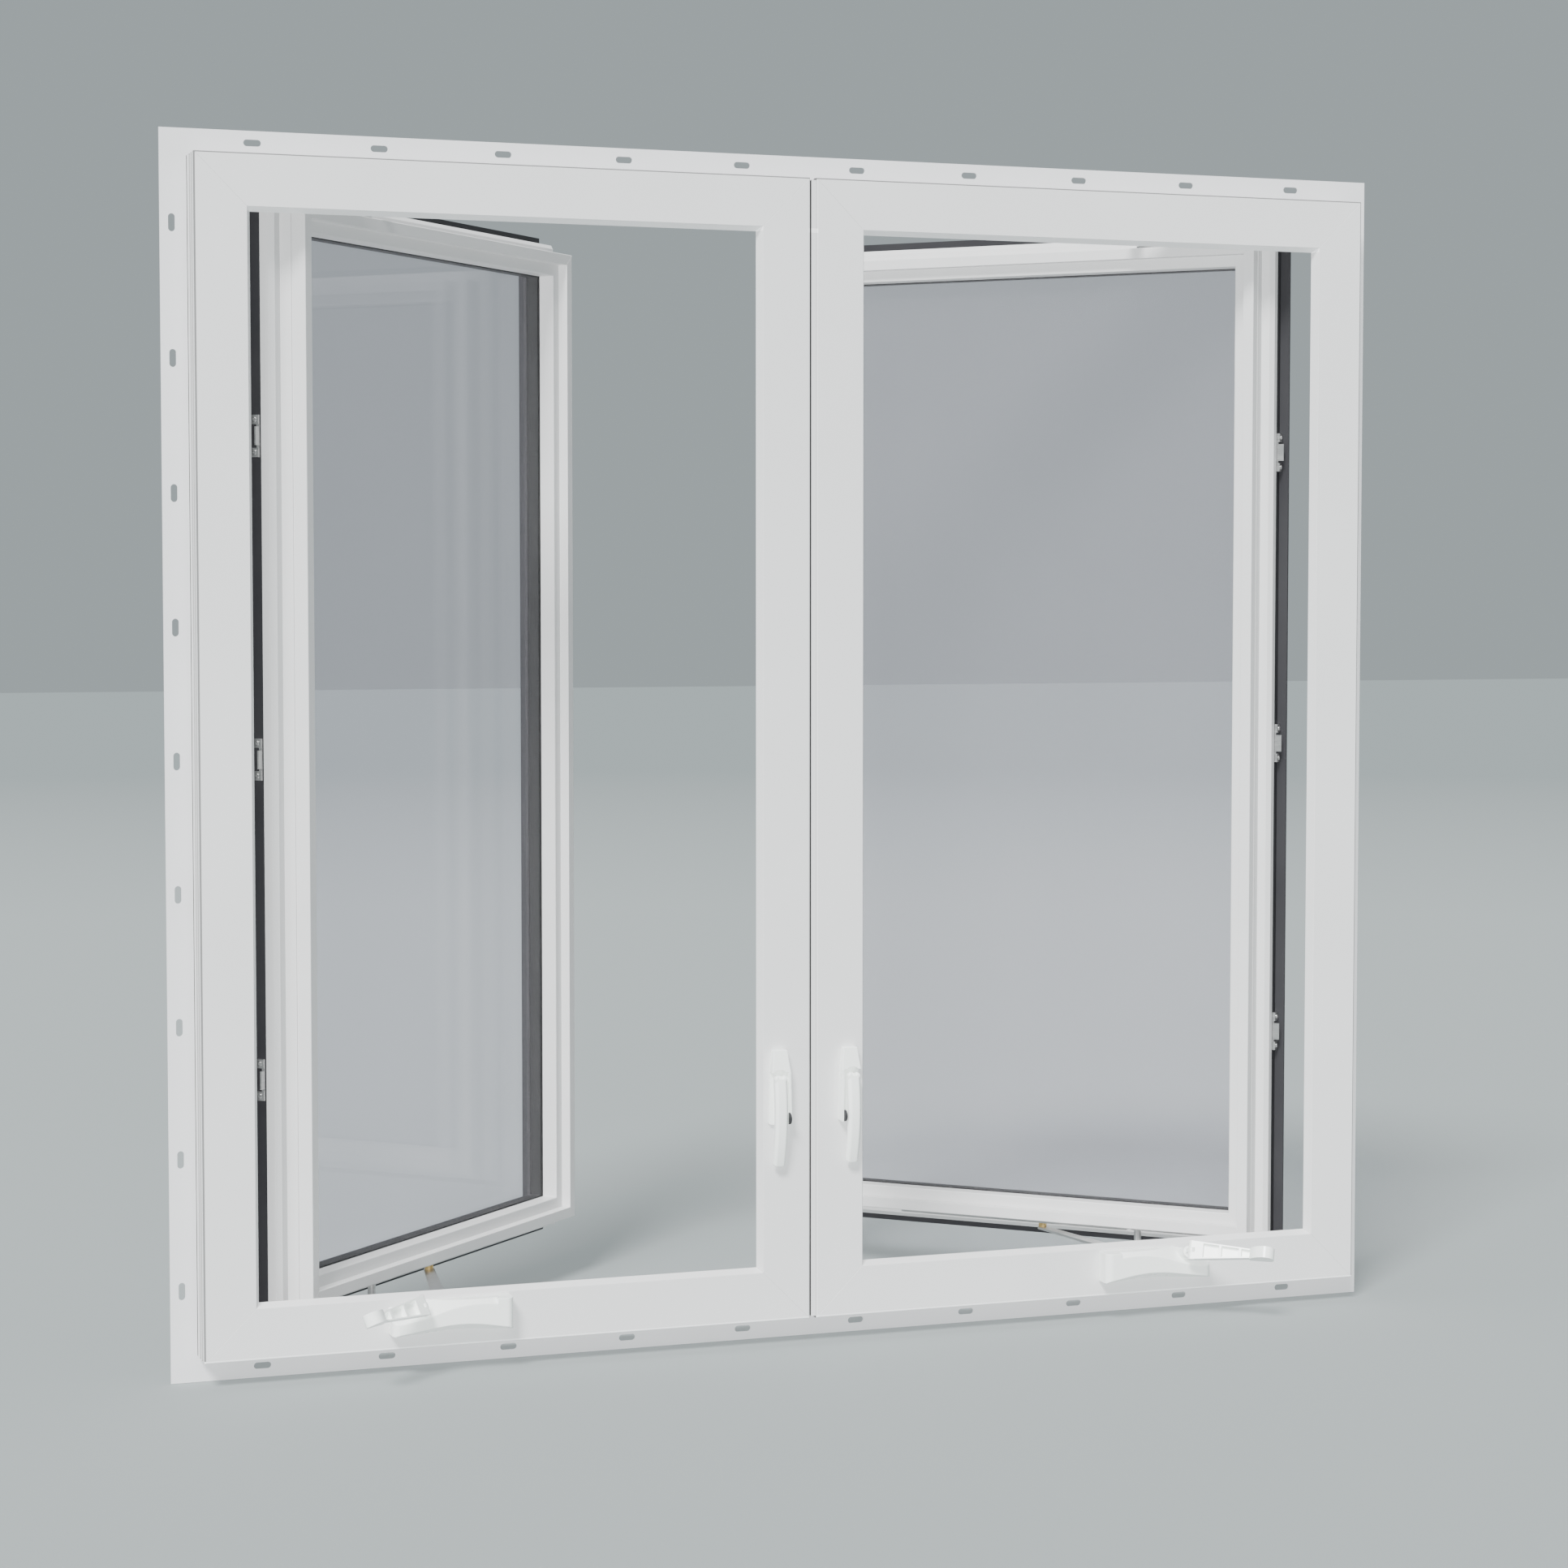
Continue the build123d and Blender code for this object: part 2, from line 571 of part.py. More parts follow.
# Sash lock
def make_lock():
    """Plate with a rim, a half-round lug, a hood and a tongue for the lever's pin."""
    x = -lock_in
    z0 = frame_z + lock_up
    foot = lock_w / 2
    neck = lock_neck / 2
    rise = lock_h - hood_h
    front = Plane((x, face_y, z0), x_dir=(1, 0, 0), z_dir=(0, -1, 0))
    outline = face_of([(-foot, 0), (foot, 0), (neck, rise), (-neck, rise)])
    outline = fillet(outline.vertices().sort_by(Axis.Y)[:2], lock_round)
    edge = face_of([(foot, 0), (neck, rise), (neck - rim_w, rise), (foot - rim_w, 0)])
    plate = extrude(front * outline, lock_t) + extrude(front * (outline & edge), hood_t)
    top = hood_top_w / 2
    hood = extrude(front * face_of([(-neck, rise), (neck, rise), (top, lock_h), (-top, lock_h)]), hood_t)
    brow = Plane((x, face_y, z0), x_dir=(0, -1, 0), z_dir=(-1, 0, 0))
    slope = face_of([(0, rise), (hood_t, rise), (hood_top_t, lock_h), (0, lock_h)])
    hood &= extrude(brow * slope, lock_w, both=True)
    pin = (-lever_off, rise - lever_drop)
    hood -= front * Pos(*pin, lock_t + hood_t / 2) * Cylinder(lever_w / 2 + hood_clear, hood_t)
    seat = Plane((x + foot - rim_w, face_y, z0 + lug_up), x_dir=(0, -1, 0), z_dir=(-1, 0, 0))
    crown = ThreePointArc((lug_out, -lug_r), (lug_out + lug_r, 0), (lug_out, lug_r))
    base = Polyline((lug_out, lug_r), (0, lug_r), (0, -lug_r), (lug_out, -lug_r))
    lug = extrude(seat * make_face(crown + base), lug_t)
    across = Plane((x - lever_off, face_y - lever_out, z0 + pin[1]), x_dir=(0, -1, 0), z_dir=(-1, 0, 0))
    nose_r = lever_pin_r + lever_nose
    back = lock_t - lever_out
    stem = face_of([(0, -nose_r), (0, nose_r), (back, nose_r), (back, -nose_r)])
    stem = extrude(across * stem, tongue_t / 2, both=True)
    nose = across * Cylinder(nose_r, tongue_t)
    hole = across * Cylinder(lever_pin_r + pin_clear, 2 * tongue_t)
    plate += hood + lug + stem + nose
    return {"left_lock_plate": plate - hole, "left_lock_lever": make_lever(across)}


def make_lever(across):
    """Bowed lever drawn in side view from its pin: out to the room and down."""
    half = lever_t / 2
    thin = lever_tip_t / 2
    mid = -lever_l / 2
    front = ThreePointArc((half, 0), (lever_bow + half, mid), (thin - lever_dip, -lever_l))
    back = ThreePointArc((-thin - lever_dip, -lever_l), (lever_bow - half, mid), (-half, 0))
    ends = Line((thin - lever_dip, -lever_l), (-thin - lever_dip, -lever_l)) + Line((-half, 0), (half, 0))
    lever = extrude(across * make_face(front + back + ends), lever_w / 2, both=True)
    lever = chamfer(lever.edges().filter_by(GeomType.CIRCLE).sort_by(Axis.Y)[:2], lever_ease)
    lever += across * Cylinder(half, lever_w)
    face = Plane(across.origin, x_dir=(1, 0, 0), z_dir=(0, -1, 0))
    outline = Pos(0, (half - lever_l) / 2) * RectangleRounded(lever_w, lever_l + half, lever_round)
    lever &= extrude(face * outline, 2 * lever_out, both=True)
    gap = tongue_t + 2 * pin_clear
    reach = lever_pin_r + lever_nose + pin_clear
    slot = [
        (reach, -reach), (reach, lever_notch), (lever_t, lever_notch),
        (lever_t, lever_t), (-lever_t, lever_t), (-lever_t, -reach),
    ]
    lever -= extrude(across * face_of(slot), gap / 2, both=True)
    return lever + across * Cylinder(lever_pin_r, lever_w - lever_round)


# Snubber brackets
def make_snubbers():
    pieces = []
    edge = -sash_w / 2 + brim_e
    y0 = sash_depth + snub_set
    for step in (-1, 0, 1):
        z = step * snub_pitch
        top = z + snub_h / 2
        foot = z - snub_h / 2
        bracket = box(edge - snub_t, edge, y0, y0 + snub_spine_w, foot, top)
        bracket += box(edge - snub_lug_t, edge, y0, y0 + snub_w, top - snub_lug_h, top)
        bracket += box(edge - snub_lug_t, edge, y0, y0 + snub_w, foot, foot + snub_lug_h)
        hook_z = snub_hook_h / 2
        bracket += box(edge - snub_hook_w, edge, y0, y0 + snub_t, z - hook_z, z + hook_z)
        pieces.append(in_sash(bracket))
    return {"left_snubber_brackets": Compound(pieces)}


# Small pieces of one kind share a node across both units
shared = (
    "left_hinge_tracks", "left_hinge_arms", "left_crank_hubs", "left_operator_gears",
    "left_arm_guides", "left_arm_bushings", "left_snubber_brackets", "left_glass_spacers",
)


def main():
    left = {}
    for make in (make_frame, make_sash, make_hinges, make_operator, make_lock, make_snubbers):
        left.update(make())
    nodes = {**make_fins(), **make_mull()}
    for name, shape in left.items():
        other = mirror(shape, about=Plane.YZ)
        if name in shared:
            nodes[name.removeprefix("left_")] = Compound([shape, other])
        else:
            nodes[name] = shape
            nodes["right" + name.removeprefix("left")] = other
    os.makedirs("parts", exist_ok=True)
    for name, shape in nodes.items():
        export_step(shape, f"parts/{name}.step")
    print(len(nodes), "nodes")


main()
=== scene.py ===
import json
import math

import bpy
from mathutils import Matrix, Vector


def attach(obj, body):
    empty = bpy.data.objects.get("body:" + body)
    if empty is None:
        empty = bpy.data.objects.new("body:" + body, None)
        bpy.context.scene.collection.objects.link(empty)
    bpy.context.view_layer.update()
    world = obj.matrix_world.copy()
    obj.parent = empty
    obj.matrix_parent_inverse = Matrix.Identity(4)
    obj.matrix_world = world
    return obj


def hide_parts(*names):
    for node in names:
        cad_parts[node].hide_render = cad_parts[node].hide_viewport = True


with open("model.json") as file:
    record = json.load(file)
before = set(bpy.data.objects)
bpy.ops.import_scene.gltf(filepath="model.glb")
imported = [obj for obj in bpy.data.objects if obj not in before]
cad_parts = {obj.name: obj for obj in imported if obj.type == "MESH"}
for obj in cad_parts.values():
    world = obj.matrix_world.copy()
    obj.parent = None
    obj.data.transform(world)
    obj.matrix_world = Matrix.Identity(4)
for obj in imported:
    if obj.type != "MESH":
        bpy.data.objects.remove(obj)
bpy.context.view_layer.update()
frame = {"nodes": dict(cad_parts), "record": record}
cadNodes = frame["nodes"]
print("frame in, pieces:", len(cadNodes))


# Camera at the photo's angle
cameraSetup = {
    "place": (-1.4515, -3.9909, 0.91965),
    "forward": (0.33694, 0.93994, -0.05487),
    "lens": 77.64,
    "sensor": 36.0,
    "clipEnd": 60.0,
}


def placeCamera(s):
    data = bpy.data.cameras.new("roomCamera")
    data.lens = s["lens"]
    data.sensor_width = s["sensor"]
    data.sensor_fit = "HORIZONTAL"
    data.clip_end = s["clipEnd"]
    cam = bpy.data.objects.new("roomCamera", data)
    bpy.context.scene.collection.objects.link(cam)
    cam.location = s["place"]
    cam.rotation_euler = Vector(s["forward"]).to_track_quat("-Z", "Y").to_euler()
    bpy.context.scene.camera = cam


placeCamera(cameraSetup)
print("camera placed")


# Node helpers shared by every finish
noiseSpan = (0.3, 0.7)  # the part of a noise's range that a finish spreads over


def startMaterial(name):
    mat = bpy.data.materials.new(name)
    mat.use_nodes = True
    tree = mat.node_tree
    return mat, tree, tree.nodes["Principled BSDF"]


def objectPoint(tree, stretch=(1, 1, 1)):
    coord = tree.nodes.new("ShaderNodeTexCoord")
    mapping = tree.nodes.new("ShaderNodeMapping")
    mapping.inputs["Scale"].default_value = stretch
    tree.links.new(coord.outputs["Object"], mapping.inputs["Vector"])
    return mapping.outputs["Vector"]


def noise(tree, vector, scale, detail, rough=0.5):
    tex = tree.nodes.new("ShaderNodeTexNoise")
    tex.inputs["Scale"].default_value = scale
    tex.inputs["Detail"].default_value = detail
    tex.inputs["Roughness"].default_value = rough
    tree.links.new(vector, tex.inputs["Vector"])
    return tex.outputs["Fac"]


def remap(tree, value, low, high):
    node = tree.nodes.new("ShaderNodeMapRange")
    node.inputs["From Min"].default_value = noiseSpan[0]
    node.inputs["From Max"].default_value = noiseSpan[1]
    node.inputs["To Min"].default_value = low
    node.inputs["To Max"].default_value = high
    tree.links.new(value, node.inputs["Value"])
    return node.outputs["Result"]


def ramp(tree, value, dark, light):
    node = tree.nodes.new("ShaderNodeValToRGB")
    for stop, place, colour in zip(node.color_ramp.elements, noiseSpan, (dark, light)):
        stop.position = place
        stop.color = (*colour, 1)
    tree.links.new(value, node.inputs["Fac"])
    return node.outputs["Color"]


def bump(tree, height, strength, distance):
    node = tree.nodes.new("ShaderNodeBump")
    node.inputs["Strength"].default_value = strength
    node.inputs["Distance"].default_value = distance
    tree.links.new(height, node.inputs["Height"])
    return node.outputs["Normal"]


def calc(tree, operation, first, second=0.0):
    node = tree.nodes.new("ShaderNodeMath")
    node.operation = operation
    for socket, value in zip(node.inputs, (first, second)):
        if isinstance(value, float):
            socket.default_value = value
        else:
            tree.links.new(value, socket)
    return node.outputs["Value"]


def between(tree, value, limits):
    above = calc(tree, "GREATER_THAN", value, limits[0])
    below = calc(tree, "LESS_THAN", value, limits[1])
    return calc(tree, "MULTIPLY", above, below)


# Fine lines painted into the frame's colour: painted shade along its edges, in its recesses, groove and mull
# slit, and painted highlight on the sill edge and head lip; each placed by how far it lies outside an edge
# and by its depth
framePaintedShadeAndHighlight = {
    "halfWide": 0.764, "halfHigh": 0.70975, "midHeight": 0.72725,
    "lines": {
        # painted shade: a dark grey line on the rounded outer edge of the head and sides
        "roundedEdgeShade": {
            "edges": ["headAndSides"], "near": (-0.0018, 0.001), "deep": (-0.051, -0.0472), "paintedTone": 0.20,
        },
        # painted highlight: a near-white band on the sill's lower rounded edge
        "sillEdgeHighlight": {
            "edges": ["sill"], "near": (-0.003, 0.0005), "deep": (-0.051, -0.0472), "paintedTone": 0.97,
        },
        # painted highlight: the head's sloped lip made lighter, as if lit from below
        "headLipHighlight": {
            "edges": ["head", "headAndSides"], "near": (-0.0675, -0.0621), "deep": (-0.0499, -0.036),
            "paintedTone": 0.95,
        },
        # painted shade: the recess floors along the frame's outer sides made grey
        "sideRecessShade": {
            "edges": ["outline"], "near": (-0.0022, -0.0002), "deep": (-0.040, -0.017), "paintedTone": 0.34,
        },
        # painted shade: near-black inside the groove beside the fin
        "finGrooveShade": {
            "edges": ["outline"], "near": (-0.0065, 0.001), "deep": (-0.006, -0.0008), "paintedTone": 0.06,
        },
        # painted shade: near-black inside the slit beside the mull strip
        "mullSlitShade": {
            "edges": ["mull"], "near": (-0.001, 0.0045), "deep": (-0.0488, -0.030), "paintedTone": 0.10,
        },
    },
}


def edgeMeasures(tree, split, s):
    across = calc(tree, "ABSOLUTE", split.outputs["X"])
    upward = calc(tree, "SUBTRACT", split.outputs["Z"], s["midHeight"])
    downward = calc(tree, "SUBTRACT", s["midHeight"], split.outputs["Z"])
    side = calc(tree, "SUBTRACT", across, s["halfWide"])
    head = calc(tree, "SUBTRACT", upward, s["halfHigh"])
    sill = calc(tree, "SUBTRACT", downward, s["halfHigh"])
    headAndSides = calc(tree, "MAXIMUM", side, head)
    outline = calc(tree, "MAXIMUM", headAndSides, sill)
    return {"mull": across, "head": head, "sill": sill, "headAndSides": headAndSides, "outline": outline}


# Paints these shade and highlight lines into the given colour, one mix per line
def paintShadeAndHighlight(tree, colour, s):
    split = tree.nodes.new("ShaderNodeSeparateXYZ")
    tree.links.new(objectPoint(tree), split.inputs["Vector"])
    measures = edgeMeasures(tree, split, s)
    for line in s["lines"].values():
        mask = between(tree, split.outputs["Y"], line["deep"])
        for edge in line["edges"]:
            mask = calc(tree, "MULTIPLY", mask, between(tree, measures[edge], line["near"]))
        mix = tree.nodes.new("ShaderNodeMix")
        mix.data_type = "RGBA"  # a colour mix takes its colours at 6 and 7 and gives its result at 2
        tree.links.new(mask, mix.inputs[0])
        tree.links.new(colour, mix.inputs[6])
        mix.inputs[7].default_value = (line["paintedTone"],) * 3 + (1,)
        colour = mix.outputs[2]
    return colour


# Vinyl, white or dark: soft sheen, faint clouding and a fine skin
def vinylFinish(name, s):
    mat, tree, shader = startMaterial(name)
    cloud = noise(tree, objectPoint(tree), s["cloudScale"], s["cloudDetail"])
    skin = noise(tree, objectPoint(tree), s["skinScale"], s["skinDetail"])
    colour = ramp(tree, cloud, s["dark"], s["light"])
    # the frame gets its painted shade and highlight lines
    if "paintedShadeAndHighlight" in s:
        colour = paintShadeAndHighlight(tree, colour, s["paintedShadeAndHighlight"])
    tree.links.new(colour, shader.inputs["Base Color"])
    tree.links.new(remap(tree, cloud, s["roughLow"], s["roughHigh"]), shader.inputs["Roughness"])
    tree.links.new(bump(tree, skin, s["skinStrength"], s["skinDepth"]), shader.inputs["Normal"])
    shader.inputs["Specular IOR Level"].default_value = s["specular"]
    return mat


frameVinyl = {
    "dark": (0.71, 0.71, 0.71), "light": (0.735, 0.735, 0.735), "cloudScale": 6.0, "cloudDetail": 4.0,
    "skinScale": 900.0, "skinDetail": 2.0, "skinStrength": 0.08, "skinDepth": 0.0002,
    "roughLow": 0.36, "roughHigh": 0.44, "specular": 0.4,
}
sashVinyl = dict(frameVinyl, dark=(0.65, 0.65, 0.65), light=(0.67, 0.67, 0.67), cloudScale=8.0)
finVinyl = dict(frameVinyl, dark=(0.71, 0.71, 0.72), light=(0.73, 0.73, 0.74), roughLow=0.45, roughHigh=0.52)
darkVinyl = dict(
    frameVinyl, dark=(0.026, 0.026, 0.029), light=(0.035, 0.035, 0.038),
    skinStrength=0.2, roughLow=0.48, roughHigh=0.58, specular=0.2,
)
spacerStrip = dict(darkVinyl, dark=(0.014, 0.015, 0.015), light=(0.020, 0.021, 0.021), cloudScale=40.0)
hardwareCoat = dict(
    frameVinyl, dark=(0.92, 0.95, 0.92), light=(0.94, 0.97, 0.94), cloudScale=18.0, skinScale=1500.0,
    roughLow=0.24, roughHigh=0.31, specular=0.5,
)


# Drawn or rolled metal: fine streaks along one axis
def metalFinish(name, s):
    mat, tree, shader = startMaterial(name)
    streak = noise(tree, objectPoint(tree, s["stretch"]), s["scale"], s["detail"], s["grain"])
    tree.links.new(ramp(tree, streak, s["dark"], s["light"]), shader.inputs["Base Color"])
    tree.links.new(remap(tree, streak, s["roughLow"], s["roughHigh"]), shader.inputs["Roughness"])
    tree.links.new(bump(tree, streak, s["bump"], s["bumpDepth"]), shader.inputs["Normal"])
    shader.inputs["Metallic"].default_value = 1.0
    return mat


steelFinish = {
    "dark": (0.50, 0.50, 0.50), "light": (0.64, 0.64, 0.63), "stretch": (1.0, 1.0, 14.0), "scale": 60.0,
    "detail": 4.0, "grain": 0.6, "roughLow": 0.28, "roughHigh": 0.42, "bump": 0.08, "bumpDepth": 0.0002,
}
brassFinish = dict(steelFinish, dark=(0.58, 0.40, 0.15), light=(0.72, 0.53, 0.24), scale=120.0)


# Clear panes: straight through, with a faint lilac haze
glassLook = {
    "tint": (0.985, 0.972, 1.0), "shade": 0.992, "ior": 1.12, "haze": 6.0, "hazeDetail": 2.0,
    "roughHigh": 0.02, "clear": 0.983,
}


def glassFinish(name, s):
    mat, tree, shader = startMaterial(name)
    cloud = noise(tree, objectPoint(tree), s["haze"], s["hazeDetail"])
    tint = Vector(s["tint"])
    tree.links.new(ramp(tree, cloud, tint * s["shade"], tint), shader.inputs["Base Color"])
    tree.links.new(remap(tree, cloud, 0.0, s["roughHigh"]), shader.inputs["Roughness"])
    shader.inputs["IOR"].default_value = s["ior"]
    shader.inputs["Transmission Weight"].default_value = s["clear"]
    return mat


finishes = {
    "frame_vinyl": vinylFinish("frameWhiteVinyl", dict(frameVinyl, paintedShadeAndHighlight=framePaintedShadeAndHighlight)),
    "sash_vinyl": vinylFinish("sashWhiteVinyl", sashVinyl),
    "fin_vinyl": vinylFinish("finWhiteVinyl", finVinyl),
    "dark_vinyl": vinylFinish("sashDarkVinyl", darkVinyl),
    "hardware_white": vinylFinish("handleWhiteCoat", hardwareCoat),
    "steel": metalFinish("hingeSteel", steelFinish),
    "brass": metalFinish("bushingBrass", brassFinish),
    "spacer": vinylFinish("spacerDarkStrip", spacerStrip),
    "glass": glassFinish("paneGlass", glassLook),
}


slotOf = {row["node"]: row["material_slot"] for row in frame["record"]["subparts"]}


def dressNodes():
    for name, obj in cadNodes.items():
        obj.data.materials.clear()
        obj.data.materials.append(finishes[slotOf[name]])


dressNodes()
print("finishes on the frame, sashes and hardware")


# Working on one object at a time
def pick(obj):
    bpy.ops.object.select_all(action="DESELECT")
    obj.select_set(True)
    bpy.context.view_layer.objects.active = obj


def applyAll(obj):
    pick(obj)
    for mod in list(obj.modifiers):
        bpy.ops.object.modifier_apply(modifier=mod.name)


def bodyOf(nodeName):
    for body, names in frame["record"]["behaviour"]["bodies"].items():
        if nodeName in names:
            return body


mergeSetup = {"weld": 0.000002, "flatAngle": 0.5}


def mergedCopy(nodeName, pieceName):
    obj = bpy.data.objects.new(pieceName, cadNodes[nodeName].data.copy())
    bpy.context.scene.collection.objects.link(obj)
    pick(obj)
    bpy.ops.object.mode_set(mode="EDIT")
    bpy.ops.mesh.select_all(action="SELECT")
    bpy.ops.mesh.remove_doubles(threshold=mergeSetup["weld"])
    bpy.ops.mesh.dissolve_limited(angle_limit=math.radians(mergeSetup["flatAngle"]))
    bpy.ops.object.mode_set(mode="OBJECT")
    return obj


def standFor(obj, nodeName):
    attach(obj, bodyOf(nodeName))
    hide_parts(nodeName)


def addBevel(obj, width, steps, angle):
    bevel = obj.modifiers.new("bevel", "BEVEL")
    bevel.width = width
    bevel.segments = steps
    bevel.limit_method = "ANGLE"
    bevel.angle_limit = math.radians(angle)
    return bevel


def smoothShade(angle):
    bpy.ops.object.shade_smooth_by_angle(angle=math.radians(angle))


# Extruded and pressed pieces: the solid with its long edges eased
easeSetup = {"steps": 2, "bevelAngle": 25, "smoothAngle": 35, "flatWeight": 90}
easedEdges = {
    "frame_head": 0.0004, "frame_sill": 0.0004, "hinge_jamb": 0.0004, "mull_jamb": 0.0004,
    "sash_top_rail": 0.0004, "sash_bottom_rail": 0.0004,
    "sash_hinge_stile": 0.0004, "sash_lock_stile": 0.0004,
    "glazing_bead": 0.0004, "sash_exterior_flange": 0.0006, "crank_handle": 0.00025,
}


def easeEdges(nodeName, width):
    obj = mergedCopy(nodeName, nodeName + "_eased")
    addBevel(obj, width, easeSetup["steps"], easeSetup["bevelAngle"]).use_clamp_overlap = False
    applyAll(obj)
    smoothShade(easeSetup["smoothAngle"])
    flat = obj.modifiers.new("flatFaces", "WEIGHTED_NORMAL")  # wide faces stay flat by their eased edges
    flat.keep_sharp = True
    flat.weight = easeSetup["flatWeight"]
    applyAll(obj)
    standFor(obj, nodeName)


for side in ("left", "right"):
    for part, width in easedEdges.items():
        easeEdges(side + "_" + part, width)
print("edges eased on frames and sashes")


# Moulded handles and covers: the solid melted together and smoothed like a casting
softenPull = 0.5
castPieces = {
    "operator_cover": {"voxel": 0.0006, "rounds": 5},
    "lock_plate": {"voxel": 0.0005, "rounds": 4},
    "lock_lever": {"voxel": 0.0005, "rounds": 36},
}


def castPiece(nodeName, s):
    obj = mergedCopy(nodeName, nodeName + "_cast")
    melt = obj.modifiers.new("melt", "REMESH")
    melt.mode = "VOXEL"
    melt.voxel_size = s["voxel"]
    soften = obj.modifiers.new("soften", "SMOOTH")
    soften.factor = softenPull
    soften.iterations = s["rounds"]
    applyAll(obj)
    bpy.ops.object.shade_smooth()
    standFor(obj, nodeName)


for side in ("left", "right"):
    for part, values in castPieces.items():
        castPiece(side + "_" + part, values)
print("handles, covers and locks cast")


# New small pieces: modelled once at the origin, then copied to their places
def setDown(pattern, name, place, facing, slot):
    obj = pattern.copy()
    obj.data = pattern.data.copy()
    obj.name = name
    bpy.context.scene.collection.objects.link(obj)
    obj.location = place
    obj.rotation_euler = Vector(facing).to_track_quat("Z", "Y").to_euler()
    pick(obj)
    bpy.ops.object.transform_apply(location=True, rotation=True, scale=False)
    obj.data.materials.clear()
    obj.data.materials.append(finishes[slot])
    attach(obj, "window")
    return obj


def dropPattern(obj):
    pick(obj)
    bpy.ops.object.delete()


# Pan-head screws in the lugs of the snubber brackets, with a cross recess
bracketScrew = {
    "radius": 0.0030, "height": 0.0015, "sides": 32, "dome": 0.0009, "domeSteps": 4, "domeAngle": 30,
    "smoothAngle": 35, "recess": 0.0036, "recessWide": 0.0008, "recessDeep": 0.0008,
    "across": 0.68296, "deep": 0.01546, "midHeight": 0.72725, "pitch": 0.3847, "lugs": 0.0195,
}


def screwPattern(s):
    bpy.ops.object.select_all(action="DESELECT")
    bpy.ops.mesh.primitive_cylinder_add(vertices=s["sides"], radius=s["radius"], depth=s["height"])
    screw = bpy.context.active_object
    bpy.ops.object.mode_set(mode="EDIT")
    bpy.ops.mesh.select_all(action="SELECT")
    bpy.ops.transform.translate(value=(0, 0, s["height"] / 2))
    bpy.ops.object.mode_set(mode="OBJECT")
    addBevel(screw, s["dome"], s["domeSteps"], s["domeAngle"])
    applyAll(screw)
    for turn in (0, math.pi / 2):
        bpy.ops.object.select_all(action="DESELECT")
        bpy.ops.mesh.primitive_cube_add(size=1, location=(0, 0, s["height"]), rotation=(0, 0, turn))
        cutter = bpy.context.active_object
        cutter.scale = (s["recess"], s["recessWide"], 2 * s["recessDeep"])
        bpy.ops.object.transform_apply(location=True, rotation=True, scale=True)
        cut = screw.modifiers.new("recess", "BOOLEAN")
        cut.object = cutter
        cut.solver = "EXACT"
        applyAll(screw)
        dropPattern(cutter)
    pick(screw)
    smoothShade(s["smoothAngle"])
    return screw


def placeScrews(s):
    screw = screwPattern(s)
    for side, sign in (("left", -1), ("right", 1)):
        for row in (-1, 0, 1):
            for lug in (-1, 1):
                name = side + "_snubber_screw_" + "lmh"[row + 1] + ("a" if lug < 0 else "b")
                place = (sign * s["across"], s["deep"], s["midHeight"] + row * s["pitch"] + lug * s["lugs"])
                setDown(screw, name, place, (sign, -1, 0), "steel")
    dropPattern(screw)


placeScrews(bracketScrew)
print("bracket screws set")


# Riveted pivot heads on the hinge arms and on the operator arms
pivotHead = {
    "radius": 0.0048, "height": 0.0016, "sides": 40, "dome": 0.0011, "domeSteps": 4, "domeAngle": 60,
    "smoothAngle": 40, "topFacing": 0.9, "dimple": 0.0022, "dimpleDeep": 0.0004,
    "hingeAcross": 0.42560, "hingeDeep": 0.01043, "hingeUp": 0.0475,
    "gearAcross": 0.46825, "gearDeep": -0.0165, "gearUp": 0.061, "midHeight": 0.72725,
}


def headPattern(s):
    bpy.ops.object.select_all(action="DESELECT")
    bpy.ops.mesh.primitive_cylinder_add(vertices=s["sides"], radius=s["radius"], depth=s["height"])
    head = bpy.context.active_object
    bpy.ops.object.mode_set(mode="EDIT")
    bpy.ops.mesh.select_all(action="SELECT")
    bpy.ops.transform.translate(value=(0, 0, s["height"] / 2))
    bpy.ops.mesh.select_mode(type="FACE")
    bpy.ops.mesh.select_all(action="DESELECT")
    bpy.ops.object.mode_set(mode="OBJECT")
    for face in head.data.polygons:
        face.select = face.normal.z > s["topFacing"]
    bpy.ops.object.mode_set(mode="EDIT")
    bpy.ops.mesh.inset(thickness=s["radius"] - s["dimple"], depth=0)
    bpy.ops.mesh.inset(thickness=s["dimpleDeep"], depth=-s["dimpleDeep"])
    bpy.ops.object.mode_set(mode="OBJECT")
    addBevel(head, s["dome"], s["domeSteps"], s["domeAngle"])
    applyAll(head)
    smoothShade(s["smoothAngle"])
    return head


def placeHeads(s):
    head = headPattern(s)
    mirrored = 2 * s["midHeight"] - s["hingeUp"]
    for side, sign in (("left", -1), ("right", 1)):
        x = sign * s["hingeAcross"]
        setDown(head, side + "_sill_hinge_rivet", (x, s["hingeDeep"], s["hingeUp"]), (0, 0, 1), "steel")
        setDown(head, side + "_head_hinge_rivet", (x, s["hingeDeep"], mirrored), (0, 0, -1), "steel")
        place = (sign * s["gearAcross"], s["gearDeep"], s["gearUp"])
        setDown(head, side + "_operator_arm_rivet", place, (0, 0, 1), "steel")
    dropPattern(head)


placeHeads(pivotHead)
print("pivot heads set")


# Dark half-round caps over the lugs beside the lock levers: painted shade, a dark sheet standing in for the
# shadow inside the half-round slot there
lugShadeCap = {
    "radius": 0.0073, "thickness": 0.0022, "sides": 48, "cutAt": -0.0009,
    "ease": 0.0004, "easeSteps": 3, "easeAngle": 30, "smoothAngle": 35,
    "across": 0.03685, "out": -0.0645, "up": 0.274,
}


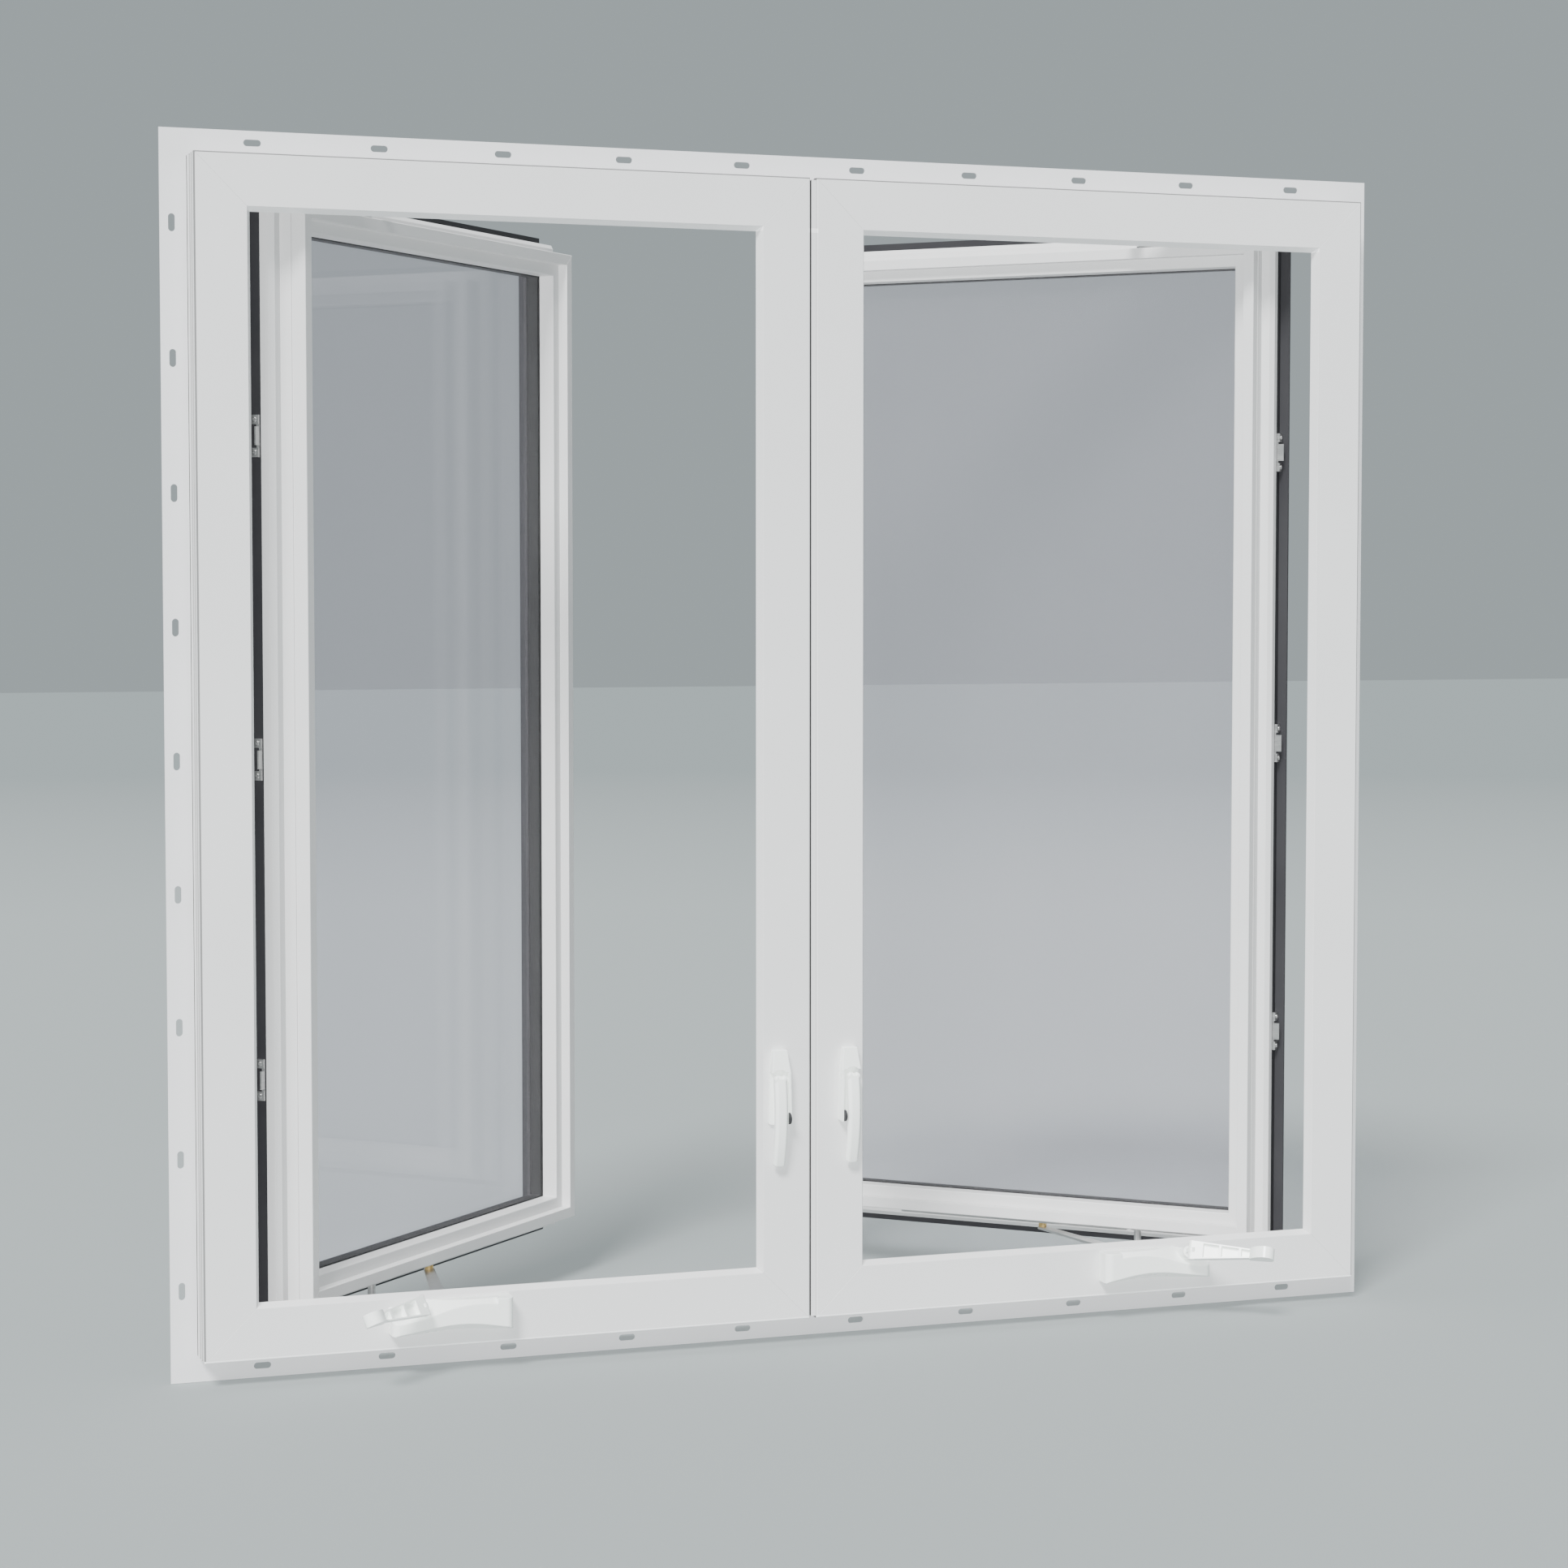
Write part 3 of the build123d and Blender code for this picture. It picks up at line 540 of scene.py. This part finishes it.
def shadeCapPattern(s):
    bpy.ops.object.select_all(action="DESELECT")
    bpy.ops.mesh.primitive_cylinder_add(vertices=s["sides"], radius=s["radius"], depth=s["thickness"])
    cap = bpy.context.active_object
    bpy.ops.object.mode_set(mode="EDIT")
    bpy.ops.mesh.select_all(action="SELECT")
    bpy.ops.mesh.bisect(plane_co=(0, s["cutAt"], 0), plane_no=(0, 1, 0), use_fill=True, clear_inner=True)
    bpy.ops.object.mode_set(mode="OBJECT")
    addBevel(cap, s["ease"], s["easeSteps"], s["easeAngle"])
    applyAll(cap)
    smoothShade(s["smoothAngle"])
    return cap


def placeShadeCaps(s):
    cap = shadeCapPattern(s)
    for side, sign in (("left", -1), ("right", 1)):
        # each cap is a dark sheet of painted shade
        obj = setDown(cap, side + "_lock_lug_shade_cap", (0, 0, 0), (0, 0, 1), "dark_vinyl")
        obj.rotation_euler = (0, math.pi / 2, 0)
        obj.location = (sign * s["across"], s["out"], s["up"])
        pick(obj)
        bpy.ops.object.transform_apply(location=True, rotation=True, scale=False)
    dropPattern(cap)


placeShadeCaps(lugShadeCap)
print("lug caps set")


# Floor and light
studio = {
    # the far floor colour is painted shade: the floor darkens away from the window like falling light
    "floorSize": 60.0, "floorColour": (0.263, 0.290, 0.292), "floorShadeFar": (0.178, 0.205, 0.209),
    "floorFalloffScale": 0.05, "floorRough": 0.9, "floorLevel": -0.0145,
    "worldColour": (0.77, 0.88, 0.91), "worldStrength": 0.48,
    "keyPlace": (-3.0, -3.84, 5.03), "keyPower": 5.2, "keySpread": 16.0, "flatPower": 3.75,
    "lowPlace": (-1.0, -3.0, -3.8), "lowPower": 1.2,
}


def sunLight(name, place, power, spread, shadow):
    data = bpy.data.lights.new(name, "SUN")
    data.energy = power
    data.angle = math.radians(spread)
    data.use_shadow = shadow
    lamp = bpy.data.objects.new(name, data)
    bpy.context.scene.collection.objects.link(lamp)
    lamp.location = place
    lamp.rotation_euler = (-Vector(place)).to_track_quat("-Z", "Y").to_euler()


def buildStudio(s):
    bpy.ops.object.select_all(action="DESELECT")
    bpy.ops.mesh.primitive_plane_add(size=s["floorSize"], location=(0, 0, s["floorLevel"]))
    floor = bpy.context.active_object
    floor.name = "studioFloor"
    bpy.ops.object.transform_apply(location=True, rotation=False, scale=False)
    mat, tree, shader = startMaterial("studioFloorPale")
    # painted falloff of light: the floor's colour darkens with distance from the window
    reach = tree.nodes.new("ShaderNodeVectorMath")
    reach.operation = "LENGTH"
    tree.links.new(objectPoint(tree, (s["floorFalloffScale"],) * 3), reach.inputs[0])
    paintedFalloff = ramp(tree, reach.outputs["Value"], s["floorColour"], s["floorShadeFar"])
    tree.links.new(paintedFalloff, shader.inputs["Base Color"])
    shader.inputs["Roughness"].default_value = s["floorRough"]
    floor.data.materials.append(mat)
    world = bpy.data.worlds.new("softStudio")
    world.use_nodes = True
    back = world.node_tree.nodes["Background"]
    back.inputs["Color"].default_value = (*s["worldColour"], 1)
    back.inputs["Strength"].default_value = s["worldStrength"]
    bpy.context.scene.world = world
    sunLight("keyLight", s["keyPlace"], s["keyPower"], s["keySpread"], True)
    sunLight("flatLight", s["keyPlace"], s["flatPower"], s["keySpread"], False)  # even, throws no shadow
    sunLight("lowLight", s["lowPlace"], s["lowPower"], s["keySpread"], False)  # lifts the undersides


buildStudio(studio)
print("studio lit")
